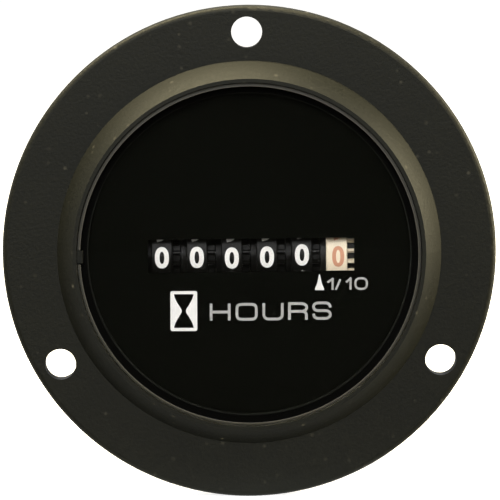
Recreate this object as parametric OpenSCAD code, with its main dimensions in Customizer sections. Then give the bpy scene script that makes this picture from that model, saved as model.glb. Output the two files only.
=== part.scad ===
// Round panel hour meter with a three-hole flange and a six-wheel counter.
// Every piece is drawn looking at the face: x to the right, y up, z toward the viewer,
// with z = 0 on the back of the flange, where the meter meets its panel.

/* [Flange] */
// Outer diameter of the mounting flange
flange_d = 72; // [66:0.5:80]
// Thickness of the flange
flange_t = 3; // [2.4:0.1:4]
// Rounding of the flange's front edge
flange_edge_r = 0.8; // [0.3:0.1:1.2]
// Diameter of a screw hole
hole_d = 4.5; // [3.6:0.1:5]
// Where a hole sits on the flange's free ring: 0 touches the bezel, 1 touches the rim
hole_place = 0.53; // [0.3:0.002:0.7]

/* [Bezel] */
// Height of the bezel above the flange
bezel_h = 3.8; // [3.2:0.1:5]
// Width of the bezel's sloping side, seen from the front
bezel_slope_w = 2.42; // [1:0.01:3.2]
// How far that side bulges out of a straight cone
bezel_bulge = 0.1; // [0.06:0.02:0.3]
// Width of the flat ridge round the lens
ridge_w = 0.54; // [0.3:0.02:0.8]

/* [Lens and dial] */
// Diameter of the clear lens
lens_d = 49.8; // [44:0.1:55]
// Thickness of the lens
lens_t = 2; // [1.4:0.1:2.2]
// Chamfer round the front of the lens
lens_chamfer = 0.4; // [0.2:0.05:0.8]
// How far the lens lies below the ridge
lens_sink = 0.3; // [0.1:0.05:0.5]
// Width of the key that stops the lens from turning
key_w = 1.8; // [1.2:0.1:3]
// Reach of that key into the lens
key_reach = 0.9; // [0.5:0.1:1.2]
// Width of the ledge under the lens
ledge_w = 1.6; // [1.3:0.1:2.4]
// Thickness of that ledge
ledge_t = 0.9; // [0.6:0.1:1.2]
// Thickness of the gasket under the lens
gasket_t = 0.5; // [0.3:0.05:0.7]
// How much smaller than the lens the dial plate is, all round
dial_step = 0.2; // [0:0.05:0.4]
// Thickness of the dial plate
dial_t = 0.8; // [0.5:0.1:1]
// Width of the counter window
window_w = 30; // [29:0.1:31]
// Height of the counter window
window_h = 4.9; // [4:0.1:6]
// Sideways offset of the window, which also shows the last wheel's teeth
window_x = 0.26; // [0:0.02:0.4]
// Height of the window's middle above the counter's axis
window_lift = 0.52; // [0:0.02:0.6]

/* [Counter] */
// Height of the counter's axis above the meter's centre
counter_y = -0.8; // [-2:0.1:1]
// Spacing of the number wheels
digit_pitch = 5.1; // [4.9:0.05:5.2]
// Width of the printed face of a wheel
face_w = 3.1; // [2.8:0.05:3.2]
// Width of the toothed ring beside that face
ring_w = 1.05; // [0.9:0.05:1.1]
// Gear module of the toothed rings and transfer pinions
counter_module = 0.5; // [0.48:0.01:0.52]
// Diameter of the wheel shaft
wheel_shaft_d = 2; // [1.6:0.1:2.4]
// Diameter of the shaft that carries the transfer pinions
pinion_shaft_d = 1; // [0.8:0.1:1.2]
// Space between the wheels and the back of the dial
wheel_gap = 0.4; // [0.3:0.05:0.8]

/* [Movement] */
// Gear module of the fine gear train
train_module = 0.2; // [0.19:0.005:0.21]
// Thickness of a train gear
gear_t = 0.6; // [0.4:0.05:0.7]
// Thickness of the counter frame's walls
frame_t = 1.2; // [1:0.1:1.5]
// Thickness of the gear plate
gear_plate_t = 1; // [0.8:0.1:1.2]
// Diameter of the rotor's magnet
magnet_d = 2.6; // [2.2:0.1:3]
// Length of the rotor's magnet
magnet_len = 2.2; // [1.6:0.1:2.4]
// Thickness of the stator sheet and of the coil's core
stator_t = 0.8; // [0.6:0.05:0.9]
// Diameter of the coil
coil_d = 4.8; // [4:0.1:5]

/* [Barrel] */
// Outside diameter of the barrel behind the panel
barrel_d = 51.2; // [46.2:0.1:57]
// Wall of the barrel
barrel_wall = 1.7; // [1.4:0.1:1.8]
// Width of the barrel's rim under the dial
dial_seat_w = 0.91; // [0.5:0.01:1.5]
// Thickness of the barrel's back
back_t = 1.8; // [1.4:0.1:2.4]
// Rounding of the barrel's back edge
back_edge_r = 1.4; // [0.6:0.1:1.4]
// Depth of the rebate in the flange's back that the barrel sits in
rebate_h = 0.6; // [0.4:0.05:0.9]
// Width of the sealant groove round the barrel in that rebate
groove_w = 0.3; // [0.15:0.05:0.35]
// Space between the circuit board and the barrel's back
board_gap = 1.5; // [1.2:0.1:2.5]
// Thickness of the circuit board
board_t = 1.2; // [1:0.1:1.6]

/* [Terminals] */
// Width of a blade terminal
blade_w = 6.35; // [4.75:0.05:6.35]
// Thickness of a blade terminal
blade_t = 0.8; // [0.5:0.05:0.8]
// Length of a blade outside the barrel
blade_len = 9; // [7:0.1:11]
// Spacing of the two blades
blade_spacing = 18; // [16:0.1:18]

/* [Fits] */
// Running clearance round a shaft
running = 0.05; // [0.03:0.01:0.08]
// Clearance between pieces that are pressed or bonded together
seat = 0.02; // [0.01:0.01:0.04]
// Clearance round the lens, its key and the dial
drop_in = 0.13; // [0.08:0.01:0.16]
// End play between turning pieces
end_play = 0.16; // [0.12:0.01:0.2]

/* [Hidden] */
$fn = 96;

black = "#26261f";
dial_black = "#12130c";
cream = "#f3e8cc";
natural = "#d9d4c4";
steel = "#b9bbbd";
cut = 0.5; // how far a cutting tool runs past the face that it opens
sink = 0.2; // how far a raised form runs into the piece that carries it

// Levels along the meter's axis
ridge_z = flange_t + bezel_h;
lens_front = ridge_z - lens_sink;
lens_back = lens_front - lens_t;
ledge_front = lens_back - gasket_t;
dial_front = ledge_front - ledge_t;
dial_back = dial_front - dial_t;

// Radii of the housing
recess_r = lens_d / 2 + drop_in;
opening_r = recess_r - ledge_w;
ridge_r = recess_r + ridge_w;
bezel_base_r = ridge_r + bezel_slope_w;
dial_d = lens_d - 2 * dial_step;
dial_bore_r = dial_d / 2 + drop_in;
spigot_r = dial_bore_r - seat;
barrel_in_r = barrel_d / 2 - barrel_wall;
mouth_r = min(barrel_in_r, spigot_r - dial_seat_w);

// Screw holes in the flange's free ring
hole_count = 3;
free_ring_w = flange_d / 2 - bezel_base_r - hole_d;
hole_circle_r = bezel_base_r + hole_d / 2 + hole_place * free_ring_w;

// Teeth of every gear: height above and below the pitch circle in modules,
// and the share of its half pitch that a tooth fills
addendum = 0.9;
dedendum = 1.2;
tooth_fill = 0.8;
pressure_angle = 20;

// Counter: 20-tooth rings turned by 8-tooth transfer pinions
wheel_count = 6;
wheel_teeth = 20;
transfer_teeth = 8;
transfer_angle = 225; // where the transfer pinions sit round the wheels: below and behind
transfer_dist = counter_module * (wheel_teeth + transfer_teeth) / 2;
transfer_tip_r = counter_module * (transfer_teeth / 2 + addendum);
transfer_root_r = counter_module * (transfer_teeth / 2 - dedendum);
transfer_short_r = counter_module * transfer_teeth / 2; // radius of the half that faces the two-tooth disc
transfer_gap = 0.12; // keeps that half clear of the disc at every phase
pair_tip_r = transfer_dist - transfer_short_r - transfer_gap;
pair_tooth_h = 1.1 * counter_module;
disc_r = pair_tip_r - pair_tooth_h;
pair_angle = 180; // where the disc's two teeth point when the wheel shows 0: just past the pinion
shaft_gap = 0.2;
wheel_r = transfer_dist - pinion_shaft_d / 2 - shaft_gap;
wheel_edge = 0.15;
counter_z = dial_back - wheel_gap - wheel_r;
counter_axis = [counter_y, counter_z];
transfer_axis = counter_axis + transfer_dist * heading(transfer_angle);
disc_w = digit_pitch - face_w - ring_w - end_play;
ring_phase = transfer_angle % (360 / wheel_teeth);

// Gear train: each stage is turned by the one after it
output_teeth = 10;
gear_teeth = 60;
leaf_teeth = 8;
output_angle = -36;
idler_angle = 206;
rotor_angle = 276;
output_dist = counter_module * (wheel_teeth + output_teeth) / 2;
train_dist = train_module * (gear_teeth + leaf_teeth) / 2;
gear_tip_r = train_module * (gear_teeth / 2 + addendum);
output_axis = counter_axis + output_dist * heading(output_angle);
idler_axis = output_axis + train_dist * heading(idler_angle);
rotor_axis = idler_axis + train_dist * heading(rotor_angle);
output_phase = mesh_phase(output_angle, wheel_teeth, ring_phase, output_teeth);
idler_phase = mesh_phase(idler_angle, gear_teeth, 0, leaf_teeth);
rotor_phase = mesh_phase(rotor_angle, gear_teeth, 0, leaf_teeth);
arbor_r = 0.8;
pivot_r = 0.45;

// Places along the counter's shaft
right_in = wheel_x(0) + face_w / 2 + ring_w + end_play;
right_out = right_in + frame_t;
left_in = wheel_x(wheel_count - 1) - face_w / 2 - disc_w - end_play;
left_out = left_in - frame_t;
output_gear_x = right_out + 2 * end_play;
idler_gear_x = output_gear_x + gear_t + 2 * end_play;
gear_plate_x = idler_gear_x + gear_t + 3 * end_play;
gear_plate_out = gear_plate_x + gear_plate_t;

// Counter frame: a back plate between two cheeks
plate_room = 0.5;
back_plate_front = transfer_axis[1] - transfer_tip_r - plate_room;
back_plate_back = back_plate_front - frame_t;
cheek_r = 2.6;
post_r = 1.2;
post_gap = 0.2;
post_reach = gear_tip_r + post_r + post_gap;
post_land = 0.8;
front_post_angle = 125;
back_post_angle = 235;
posts = [
    idler_axis + post_reach * heading(front_post_angle),
    (output_axis + idler_axis) / 2 + sqrt(post_reach ^ 2 - train_dist ^ 2 / 4) * heading(idler_angle + 90),
    idler_axis + post_reach * heading(back_post_angle)
];

// Stepper motor behind the counter
air_gap = 0.3;
bridge_w = 0.7;
leg_w = 3;
leg_reach = 6.6;
bobbin_wall = 0.7;
bobbin_rim = 0.25;
bobbin_r = coil_d / 2 + bobbin_rim;
stator_bore_r = magnet_d / 2 + air_gap;
stator_back = rotor_axis[1] - stator_bore_r - bridge_w;
core_w = 1.9;
sleeve_wall = 0.35;
sleeve_r = norm([core_w, stator_t]) / 2 + sleeve_wall;
core_axis = [rotor_axis[0], stator_back - air_gap - bobbin_r];
core_x = right_in - end_play - bobbin_r - stator_t / 2;
stator_x = core_x + stator_t;
magnet_x = stator_x + (stator_t - magnet_len) / 2;
bobbin_len = 2 * leg_reach - leg_w - 2 * end_play;
motor_posts = [
    [rotor_axis[0] - leg_reach, core_axis[1]],
    [rotor_axis[0] + leg_reach, core_axis[1]]
];
motor_screw_d = 1.2;
motor_head_h = 0.7;
motor_slot_w = 0.35;
pin_d = 0.4;
pin_out = 0.5; // how far a coil pin stands out behind the board

// Board, barrel back and screws
board_room = 0.4;
board_front = core_axis[1] - bobbin_r - end_play;
board_back = board_front - board_t;
board_r = barrel_in_r - board_room;
back_in = board_back - board_gap;
back_out = back_in - back_t;
boss_inset = 5.1;
boss_y = barrel_in_r - boss_inset;
boss_r = 2.4;
boss_foot_r = 3.4;
screw_d = 1.8;
screw_len = 7;
screw_room = 1; // left below a screw in its boss
screw_head_d = 2.1 * screw_d;
screw_head_h = 0.7 * screw_d;
screw_head_edge = 0.3;
cross_w = 0.45;
cross_depth = 0.5;
ear_w = 7;
collar_h = 1;
collar_wall = 1.2;
shoulder_w = blade_w + 1.8;
shoulder_h = 0.9;
tail_w = 3;
tail_rise = 0.8;
tip_bevel_w = 1.1;
tip_bevel_len = 1.4;
lock_hole_d = 1.7;
lock_hole_in = 3.9; // from the blade's tip

// Parts on the board: [x, y] of each lead, with the two at the left placed from the board's edge
lead_d = 0.5;
lead_out = 0.4; // how far a lead stands out behind the board
lead_span = 8;
part_lift = 0.2;
diode_d = 2.4;
diode_len = 4.6;
diode_inset = 8.5;
diode_y = -9.5;
diode_leads = [for (step = [0, 1]) [diode_inset - board_r, diode_y + step * lead_span]];
resistor_d = 2;
resistor_len = 4.8;
resistor_place = [-5, -9];
resistor_leads = [for (step = [0, 1]) resistor_place + [step * lead_span, 0]];
crystal_d = 2;
crystal_len = 6;
crystal_lead_gap = 1.3;
crystal_bend = 0.8;
crystal_place = [-4.5, 7.6];
crystal_leads = [for (step = [0, 1]) crystal_place + [0, step * crystal_lead_gap]];
capacitor_d = 5;
capacitor_h = 7;
capacitor_edge_r = 0.4;
capacitor_inset = 9.5;
capacitor_y = 6.5;
capacitor_lead_gap = 2;
capacitor_leads = [for (step = [0, 1]) [capacitor_inset - board_r, capacitor_y + step * capacitor_lead_gap]];
lead_places = [each diode_leads, each resistor_leads, each crystal_leads, each capacitor_leads];
chip = [5, 4, 1.5];
chip_y = -1.5;
chip_lift = 0.15;
chip_leg = [0.4, 6, 0.25];
chip_leg_pitch = 1.27;

function heading(a) = [cos(a), sin(a)];
function wheel_x(i) = ((wheel_count - 1) / 2 - i) * digit_pitch;

// Involute gears: half of a tooth's angle at a radius, and the outline of the whole gear
function involute(a) = tan(a) * 180 / PI - a;
function tooth_half(teeth, r_share) =
    90 / teeth * tooth_fill + involute(pressure_angle)
    - (r_share > cos(pressure_angle) ? involute(acos(cos(pressure_angle) / r_share)) : 0);
function gear_outline(teeth, gear_module, phase) =
    let (pitch_r = teeth * gear_module / 2)
    let (radii = [pitch_r - dedendum * gear_module, pitch_r, pitch_r + addendum * gear_module])
    [
        for (tooth = [0:teeth - 1])
        for (corner = [[0, -1], [1, -1], [2, -1], [2, 1], [1, 1], [0, 1]])
        let (r = radii[corner[0]])
        r * heading(phase + tooth * 360 / teeth + corner[1] * tooth_half(teeth, r / pitch_r))
    ];

// Phase of the gear that meshes with another one lying at an angle from it
function mesh_phase(angle, teeth, phase, mate_teeth) =
    angle + 180 - 180 / mate_teeth + (angle - phase) * teeth / mate_teeth;

// Stands the meter up: its face looks along -Y and its top is along +Z
module stand_up() {
    rotate([90, 0, 0]) children();
}

// Puts a shape that was drawn along z on an axis that runs along x, at [y, z]
module on_axis(axis, x = 0) {
    translate([x, axis[0], axis[1]]) rotate([90, 0, 90]) children();
}

module gear(teeth, gear_module, width, phase) {
    linear_extrude(width) polygon(gear_outline(teeth, gear_module, phase));
}

module rod(d, length) {
    cylinder(d = d, h = length);
}

// Half section of a disc with one rounded outer edge, at its top
module round_edged_section(r, height, edge_r) {
    square([r - edge_r, height]);
    square([r, height - edge_r]);
    translate([r - edge_r, height - edge_r]) circle(edge_r);
}

// Half section of the bezel: a ring whose sloping side bulges a little
module bezel_section() {
    base = [bezel_base_r, flange_t];
    top = [ridge_r, ridge_z];
    chord = norm(base - top);
    bulge_r = (chord * chord / 4 + bezel_bulge * bezel_bulge) / (2 * bezel_bulge);
    outward = [base[1] - top[1], top[0] - base[0]] / chord;
    centre = (base + top) / 2 + outward * (bulge_r - bezel_bulge);
    intersection() {
        translate([0, flange_t - sink]) square([base[0] + bezel_bulge, bezel_h + sink]);
        union() {
            translate(centre) circle(bulge_r, $fn = 200);
            square([base[0], flange_t]);
        }
    }
}

module front_housing() {
    color(black) stand_up() {
        difference() {
            rotate_extrude() difference() {
                union() {
                    round_edged_section(flange_d / 2, flange_t, flange_edge_r);
                    bezel_section();
                }
                translate([0, -cut]) square([barrel_d / 2 + seat, rebate_h + cut]);
                translate([0, -cut]) square([dial_bore_r, dial_front + cut]);
                square([opening_r, ridge_z + cut]);
                translate([0, ledge_front]) square([recess_r, bezel_h + cut]);
            }
            for (i = [0:hole_count - 1]) {
                rotate(i * 360 / hole_count) translate([0, hole_circle_r, -cut])
                    rod(hole_d, flange_t + 2 * cut);
            }
        }
        translate([-recess_r - sink, -key_w / 2, lens_back + seat])
            cube([key_reach + sink, key_w, lens_t - lens_chamfer]);
    }
}

module lens() {
    color("#dfe4e2", 0.3) stand_up() difference() {
        translate([0, 0, lens_back]) rotate_extrude() polygon([
            [0, 0], [lens_d / 2, 0], [lens_d / 2, lens_t - lens_chamfer],
            [lens_d / 2 - lens_chamfer, lens_t], [0, lens_t]
        ]);
        translate([-recess_r - cut, -key_w / 2 - drop_in, lens_back - cut])
            cube([cut + key_reach + drop_in, key_w + 2 * drop_in, lens_t + 2 * cut]);
    }
}

module lens_gasket() {
    color("#1b1b19") stand_up() translate([0, 0, ledge_front]) difference() {
        cylinder(r = recess_r - drop_in, h = gasket_t);
        translate([0, 0, -cut]) cylinder(r = opening_r + drop_in, h = gasket_t + 2 * cut);
    }
}

module dial_plate() {
    color(dial_black) stand_up() translate([0, 0, dial_back]) difference() {
        rod(dial_d, dial_t);
        translate([window_x - window_w / 2, counter_y + window_lift - window_h / 2, -cut])
            cube([window_w, window_h, dial_t + 2 * cut]);
    }
}

// Slot through the barrel's back for a blade, with a little room round it
module blade_slot(height) {
    translate([0, 0, height / 2]) cube([blade_t + 2 * seat, blade_w + 2 * seat, height], center = true);
}

module rear_case() {
    color(black) stand_up() difference() {
        union() {
            difference() {
                union() {
                    mirror([0, 0, 1]) rotate_extrude()
                        round_edged_section(barrel_d / 2, -back_out, back_edge_r);
                    cylinder(r = barrel_d / 2 - groove_w, h = rebate_h);
                    cylinder(r = spigot_r, h = dial_back);
                }
                translate([0, 0, back_in]) cylinder(r = barrel_in_r, h = -barrel_wall - back_in);
                translate([0, 0, back_in]) cylinder(r = mouth_r, h = dial_back - back_in + cut);
            }
            for (side = [-1, 1]) translate([0, side * boss_y, back_in - sink]) {
                cylinder(r = boss_r, h = back_plate_back - back_in + sink);
                cylinder(r = boss_foot_r, h = board_gap + sink);
            }
            for (side = [-1, 1]) {
                translate([side * blade_spacing / 2, 0, back_out - collar_h / 2 + sink / 2]) cube([
                    blade_t + 2 * collar_wall, blade_w + 2 * collar_wall, collar_h + sink
                ], center = true);
            }
        }
        for (side = [-1, 1]) {
            translate([side * blade_spacing / 2, 0, back_out - collar_h - cut])
                blade_slot(back_t + collar_h + 2 * cut);
            translate([0, side * boss_y, back_plate_back - screw_len])
                rod(screw_d + 2 * seat, screw_len + cut);
        }
    }
}

// Outline of a cheek, drawn in the plane across the counter's shaft
module cheek_outline(axes) {
    hull() for (axis = axes) translate(axis) circle(cheek_r, $fn = 32);
}

module movement_frame() {
    plate_y = [transfer_axis[0] - cheek_r, output_axis[0] + cheek_r];
    plate_ends = [for (y = plate_y) [y, back_plate_front - frame_t / 2]];
    color("#55564f") stand_up() difference() {
        union() {
            on_axis([0, 0], left_out) linear_extrude(frame_t)
                cheek_outline([counter_axis, transfer_axis, each plate_ends]);
            on_axis([0, 0], right_in) linear_extrude(frame_t)
                cheek_outline([counter_axis, transfer_axis, output_axis, each posts, each motor_posts]);
            translate([left_in - sink, plate_y[0], back_plate_back])
                cube([right_in - left_in + 2 * sink, plate_y[1] - plate_y[0], frame_t]);
            translate([-ear_w / 2, -boss_y, back_plate_back]) cube([ear_w, 2 * boss_y, frame_t]);
            for (side = [-1, 1]) {
                translate([0, side * boss_y, back_plate_back]) rod(ear_w, frame_t);
            }
            for (post = posts) {
                on_axis(post, right_out - sink) cylinder(r = post_r, h = gear_plate_x - right_out + sink);
                on_axis(post, right_out) cylinder(r = post_r / 2, h = gear_plate_out - right_out);
            }
            for (post = motor_posts) {
                on_axis(post, stator_x + stator_t)
                    cylinder(r = post_r, h = right_in - stator_x - stator_t + sink);
            }
        }
        on_axis(counter_axis, left_out - cut) rod(wheel_shaft_d + 2 * seat, right_out - left_out + 2 * cut);
        on_axis(transfer_axis, left_out - cut) rod(pinion_shaft_d + 2 * seat, right_out - left_out + 2 * cut);
        on_axis(output_axis, right_in - cut) cylinder(r = arbor_r + running, h = frame_t + 2 * cut);
        for (axis = [idler_axis, rotor_axis]) {
            on_axis(axis, right_in - cut) cylinder(r = pivot_r + running, h = frame_t + 2 * cut);
        }
        for (post = motor_posts) {
            on_axis(post, stator_x) rod(motor_screw_d + 2 * seat, right_out - stator_x + cut);
        }
        for (side = [-1, 1]) {
            translate([0, side * boss_y, back_plate_back - cut])
                rod(screw_d + 4 * drop_in, frame_t + 2 * cut);
        }
    }
}

module gear_plate() {
    color(natural) stand_up() difference() {
        on_axis([0, 0], gear_plate_x) linear_extrude(gear_plate_t) hull() {
            for (axis = [each posts, output_axis, rotor_axis]) {
                translate(axis) circle(post_r + post_land, $fn = 32);
            }
        }
        for (axis = [output_axis, idler_axis, rotor_axis]) {
            on_axis(axis, gear_plate_x - cut) cylinder(r = pivot_r + running, h = gear_plate_t + 2 * cut);
        }
        for (post = posts) {
            on_axis(post, gear_plate_x - cut) cylinder(r = post_r / 2 + seat, h = gear_plate_t + 2 * cut);
        }
    }
}

module wheel_shaft() {
    color(steel) stand_up() on_axis(counter_axis, left_out) rod(wheel_shaft_d, right_out - left_out);
}

module pinion_shaft() {
    color(steel) stand_up() on_axis(transfer_axis, left_out) rod(pinion_shaft_d, right_out - left_out);
}

// Number wheel i, counted from the tenths: printed drum, toothed ring on its right,
// and on its left the disc whose two teeth move the next wheel on
module number_wheel(i, tint) {
    left = wheel_x(i) - face_w / 2;
    color(tint) stand_up() on_axis(counter_axis) difference() {
        union() {
            translate([0, 0, left]) rotate_extrude() polygon([
                [0, 0], [wheel_r - wheel_edge, 0], [wheel_r, wheel_edge],
                [wheel_r, face_w - wheel_edge], [wheel_r - wheel_edge, face_w], [0, face_w]
            ]);
            translate([0, 0, left + face_w - sink])
                gear(wheel_teeth, counter_module, ring_w + sink, ring_phase);
            translate([0, 0, left - disc_w]) {
                cylinder(r = disc_r, h = disc_w + sink);
                for (side = [-1, 1]) {
                    rotate(pair_angle + side * 180 / wheel_teeth) translate([0, -counter_module / 2, 0])
                        cube([pair_tip_r, counter_module, disc_w + sink]);
                }
            }
        }
        translate([0, 0, left - disc_w - cut])
            rod(wheel_shaft_d + 2 * running, disc_w + face_w + ring_w + 2 * cut);
    }
}

module wheel_tenths() { number_wheel(0, cream); }
module wheel_units() { number_wheel(1, dial_black); }
module wheel_tens() { number_wheel(2, dial_black); }
module wheel_hundreds() { number_wheel(3, dial_black); }
module wheel_thousands() { number_wheel(4, dial_black); }
module wheel_ten_thousands() { number_wheel(5, dial_black); }

// Transfer pinion that turns wheel i: every tooth on its left half meshes with that wheel's ring,
// and its plain right half faces the two-tooth disc of the wheel before
module transfer_pinion(i) {
    left = wheel_x(i) + face_w / 2 + end_play / 2;
    split = wheel_x(i) + face_w / 2 + ring_w + end_play / 2;
    right = wheel_x(i - 1) - face_w / 2 - end_play / 2;
    phase = mesh_phase(transfer_angle, wheel_teeth, ring_phase, transfer_teeth);
    color(natural) stand_up() on_axis(transfer_axis) difference() {
        union() {
            translate([0, 0, left]) gear(transfer_teeth, counter_module, split - left, phase);
            intersection() {
                translate([0, 0, split - sink]) cylinder(r = transfer_short_r, h = right - split + sink);
                union() {
                    translate([0, 0, split - sink]) cylinder(r = transfer_root_r, h = right - split + sink);
                    for (tooth = [0:2:transfer_teeth - 1]) {
                        rotate(phase + tooth * 360 / transfer_teeth)
                            translate([0, -counter_module / 2, split - sink])
                            cube([transfer_tip_r, counter_module, right - split + sink]);
                    }
                }
            }
        }
        translate([0, 0, left - cut]) rod(pinion_shaft_d + 2 * running, right - left + 2 * cut);
    }
}

module pinion_units() { transfer_pinion(1); }
module pinion_tens() { transfer_pinion(2); }
module pinion_hundreds() { transfer_pinion(3); }
module pinion_thousands() { transfer_pinion(4); }
module pinion_ten_thousands() { transfer_pinion(5); }

// Gear and pinion in one moulding, which turns the tenths wheel through the right cheek
module output_gear() {
    pinion_x = wheel_x(0) + face_w / 2 + end_play / 2;
    color(natural) stand_up() on_axis(output_axis) {
        translate([0, 0, pinion_x])
            gear(output_teeth, counter_module, right_in - end_play / 2 - pinion_x, output_phase);
        translate([0, 0, right_in - end_play])
            cylinder(r = arbor_r, h = output_gear_x - right_in + end_play + sink);
        translate([0, 0, output_gear_x]) gear(gear_teeth, train_module, gear_t, 0);
        translate([0, 0, output_gear_x]) cylinder(r = pivot_r, h = gear_plate_out - output_gear_x);
    }
}

module idler_gear() {
    color(natural) stand_up() on_axis(idler_axis) {
        translate([0, 0, right_in]) cylinder(r = pivot_r, h = gear_plate_out - right_in);
        translate([0, 0, right_out + end_play / 2])
            gear(leaf_teeth, train_module, idler_gear_x - right_out - end_play / 2 + sink, idler_phase);
        translate([0, 0, idler_gear_x]) gear(gear_teeth, train_module, gear_t, 0);
    }
}

module rotor_pinion() {
    leaf_x = idler_gear_x - end_play / 2;
    color(natural) stand_up() on_axis(rotor_axis) {
        translate([0, 0, magnet_x]) cylinder(r = pivot_r, h = gear_plate_out - magnet_x);
        translate([0, 0, leaf_x]) gear(leaf_teeth, train_module, gear_t + end_play, rotor_phase);
    }
}

module rotor_magnet() {
    color("#3c3d40") stand_up() on_axis(rotor_axis, magnet_x) difference() {
        rod(magnet_d, magnet_len);
        translate([0, 0, -cut]) cylinder(r = pivot_r + seat, h = magnet_len + 2 * cut);
    }
}

// Stator sheet: a bar with the rotor's bore and two legs that carry the coil's core
module stator() {
    bar_front = rotor_axis[1] + stator_bore_r + bridge_w;
    color(steel) stand_up() difference() {
        on_axis([0, 0], stator_x) linear_extrude(stator_t) {
            translate([rotor_axis[0] - leg_reach - leg_w / 2, stator_back])
                square([2 * leg_reach + leg_w, bar_front - stator_back]);
            for (post = motor_posts) {
                translate(post) circle(leg_w / 2);
                translate(post - [leg_w / 2, 0]) square([leg_w, bar_front - post[1]]);
            }
        }
        on_axis(rotor_axis, stator_x - cut) cylinder(r = stator_bore_r, h = stator_t + 2 * cut);
        for (post = motor_posts) {
            on_axis(post, stator_x - cut) rod(motor_screw_d + 2 * drop_in, stator_t + 2 * cut);
        }
    }
}

module coil_core() {
    color(steel) stand_up() difference() {
        on_axis([0, 0], core_x) linear_extrude(stator_t) {
            for (post = motor_posts) translate(post) circle(leg_w / 2);
            translate(motor_posts[0] - [0, core_w / 2]) square([2 * leg_reach, core_w]);
        }
        for (post = motor_posts) {
            on_axis(post, core_x - cut) rod(motor_screw_d + 2 * drop_in, stator_t + 2 * cut);
        }
    }
}

// Puts a shape drawn along z on the coil's axis, which runs up through the core, at a height
module on_coil(y) {
    translate([core_x + stator_t / 2, rotor_axis[0] + y, core_axis[1]]) rotate([-90, 0, 0]) children();
}

module coil_bobbin() {
    color("#e8e4d6") stand_up() difference() {
        union() {
            on_coil(-bobbin_len / 2) cylinder(r = sleeve_r, h = bobbin_len);
            for (end = [-bobbin_len / 2, bobbin_len / 2 - bobbin_wall]) {
                on_coil(end) cylinder(r = bobbin_r, h = bobbin_wall);
            }
        }
        on_coil(-bobbin_len / 2 - cut) translate([0, 0, bobbin_len / 2 + cut])
            cube([stator_t + 2 * seat, core_w + 2 * seat, bobbin_len + 2 * cut], center = true);
        for (side = [-1, 1]) coil_pin(side, seat);
    }
}

module coil_winding() {
    color("#b4632f") stand_up() difference() {
        on_coil(-bobbin_len / 2 + bobbin_wall + seat) rod(coil_d, bobbin_len - 2 * bobbin_wall - 2 * seat);
        on_coil(-bobbin_len / 2) cylinder(r = sleeve_r + seat, h = bobbin_len);
    }
}

// Pin from a bobbin's end wall through the circuit board
module coil_pin(side, room = 0) {
    top = core_axis[1] - coil_d / 4 - bobbin_wall;
    translate([
        core_x + stator_t / 2,
        rotor_axis[0] + side * (bobbin_len - bobbin_wall) / 2,
        board_back - pin_out
    ]) rod(pin_d + 2 * room, top - board_back + pin_out);
}

module coil_pins() {
    color(steel) stand_up() for (side = [-1, 1]) coil_pin(side);
}

module motor_screws() {
    color(steel) stand_up() for (post = motor_posts) {
        on_axis(post, core_x - motor_head_h) difference() {
            union() {
                rod(2 * motor_screw_d, motor_head_h);
                rod(motor_screw_d, motor_head_h + right_out - core_x - running);
            }
            cube([3 * motor_screw_d, motor_slot_w, motor_head_h], center = true);
        }
    }
}

module circuit_board() {
    color("#2f6b3c") stand_up() difference() {
        translate([0, 0, board_back]) cylinder(r = board_r, h = board_t);
        for (side = [-1, 1]) {
            translate([0, side * boss_y, board_back - cut])
                cylinder(r = boss_r + drop_in, h = board_t + 2 * cut);
            translate([side * blade_spacing / 2, 0, board_back + board_t / 2])
                cube([blade_t + 2 * seat, tail_w + 2 * seat, board_t + 2 * cut], center = true);
            coil_pin(side, seat);
        }
        for (place = lead_places) {
            translate([place[0], place[1], board_back - cut]) rod(lead_d + 2 * seat, board_t + 2 * cut);
        }
    }
}

module lead(place, rise) {
    translate([place[0], place[1], board_back - lead_out]) rod(lead_d, board_t + lead_out + rise);
}

// Round body that lies on its two leads, like a diode or a resistor
module axial_part(leads, body_d, body_len) {
    rise = body_d / 2 + part_lift;
    span = norm(leads[1] - leads[0]);
    angle = atan2(leads[1][1] - leads[0][1], leads[1][0] - leads[0][0]);
    for (place = leads) lead(place, rise + lead_d / 2);
    translate([leads[0][0], leads[0][1], board_front + rise]) rotate([0, 90, angle]) {
        rod(lead_d, span);
        translate([0, 0, (span - body_len) / 2]) rod(body_d, body_len);
    }
}

module controller_chip() {
    color("#1d1d1f") stand_up() translate([0, chip_y, board_front]) {
        translate([-chip[0] / 2, -chip[1] / 2, chip_lift]) cube(chip);
        for (i = [-1.5:1.5]) {
            translate([i * chip_leg_pitch - chip_leg[0] / 2, -chip_leg[1] / 2, 0]) cube(chip_leg);
        }
    }
}

module quartz_crystal() {
    middle = (crystal_leads[0] + crystal_leads[1]) / 2;
    height = board_front + crystal_d / 2;
    color("#c9cbcc") stand_up() {
        for (place = crystal_leads) {
            lead(place, crystal_d / 2);
            translate([place[0], place[1], height]) rotate([0, 90, 0]) rod(lead_d, crystal_bend + sink);
        }
        translate([middle[0] + crystal_bend, middle[1], height]) rotate([0, 90, 0])
            rod(crystal_d, crystal_len);
    }
}

module smoothing_capacitor() {
    middle = (capacitor_leads[0] + capacitor_leads[1]) / 2;
    color("#2b3150") stand_up() {
        for (place = capacitor_leads) lead(place, part_lift + sink);
        translate([middle[0], middle[1], board_front + part_lift]) rotate_extrude()
            round_edged_section(capacitor_d / 2, capacitor_h, capacitor_edge_r);
    }
}

module protection_diode() {
    color("#202022") stand_up() axial_part(diode_leads, diode_d, diode_len);
}

module dropper_resistor() {
    color("#c8b088") stand_up() axial_part(resistor_leads, resistor_d, resistor_len);
}

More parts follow.
